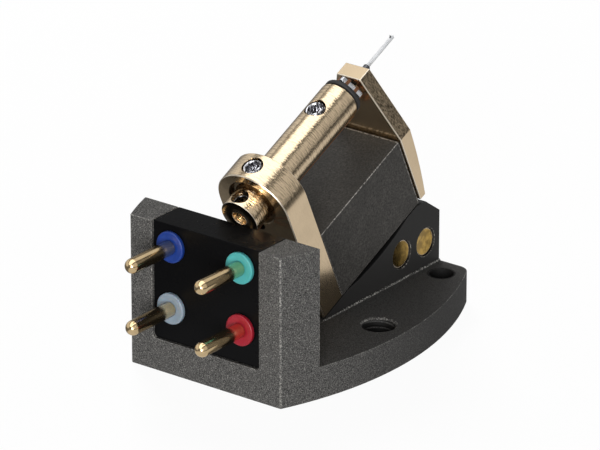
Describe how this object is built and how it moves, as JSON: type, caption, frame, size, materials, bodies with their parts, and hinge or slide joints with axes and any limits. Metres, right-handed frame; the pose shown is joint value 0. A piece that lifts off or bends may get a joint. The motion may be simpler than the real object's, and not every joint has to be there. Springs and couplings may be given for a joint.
{
  "type": "moving-coil phono cartridge",
  "caption": "Bare-generator phono cartridge: dark metal mounting plate and terminal frame, gilt yokes and pole piece, block magnet, sprung cantilever with stylus.",
  "frame": {"origin": "midway between the two mounting holes, on the mounting face", "axes": "+Y forward from the terminal pins to the stylus, +X to the right seen from the pins, +Z away from the mounting face, towards the record"},
  "size_m": [0.0172, 0.0271, 0.019],
  "materials": {
    "body_metal": "fine bead-blasted dark grey, edges rubbed bright",
    "block_plastic": "black satin",
    "pin_gilt": "polished gilt",
    "collar_white": "satin",
    "collar_blue": "satin",
    "collar_red": "satin",
    "collar_green": "satin",
    "rod_brass": "polished",
    "yoke_gilt": "pale gilt, finely turned",
    "magnet_grey": "matte, ground",
    "pipe_gilt": "gilt",
    "screw_steel": "bright steel",
    "damper_rubber": "matte",
    "wire_steel": "bright",
    "former_bright": "bright",
    "coil_copper": "fine enamelled wire",
    "ferrule_dark": "satin",
    "cantilever_pale": "clear, polished",
    "diamond": "polished",
    "lead_enamel": "enamelled"
  },
  "bodies": {
    "housing": {"body": "body_metal", "terminal_block": "block_plastic", "left_signal_pin": "pin_gilt", "left_return_pin": "pin_gilt", "right_signal_pin": "pin_gilt", "right_return_pin": "pin_gilt", "left_signal_collar": "collar_white", "left_return_collar": "collar_blue", "right_signal_collar": "collar_red", "right_return_collar": "collar_green", "front_rod": "rod_brass", "rear_rod": "rod_brass", "rear_yoke": "yoke_gilt", "magnet": "magnet_grey", "front_yoke": "yoke_gilt", "pole_piece": "yoke_gilt", "suspension_pipe": "pipe_gilt", "yoke_set_screw": "screw_steel", "pole_set_screw": "screw_steel", "stub_set_screw": "screw_steel", "left_signal_lead": "lead_enamel", "left_return_lead": "lead_enamel", "right_signal_lead": "lead_enamel", "right_return_lead": "lead_enamel"},
    "suspension": {"damper": "damper_rubber", "suspension_wire": "wire_steel"},
    "stylus_arm": {"coil_former": "former_bright", "left_coil": "coil_copper", "right_coil": "coil_copper", "ferrule": "ferrule_dark", "cantilever": "cantilever_pale", "stylus_tip": "diamond"}
  },
  "joints": [
    {"name": "stylus_vertical", "type": "hinge", "parent": "housing", "child": "suspension", "pos_m": [0, 0.0042, 0.01618], "axis": [1, 0, 0], "range_deg": [-2.5, 2.5], "stiffness_Nm_per_rad": 0.0045},
    {"name": "stylus_lateral", "type": "hinge", "parent": "suspension", "child": "stylus_arm", "pos_m": [0, 0.0042, 0.01618], "axis": [0, -0.4163, 0.9092], "range_deg": [-2.5, 2.5], "stiffness_Nm_per_rad": 0.0045}
  ]
}
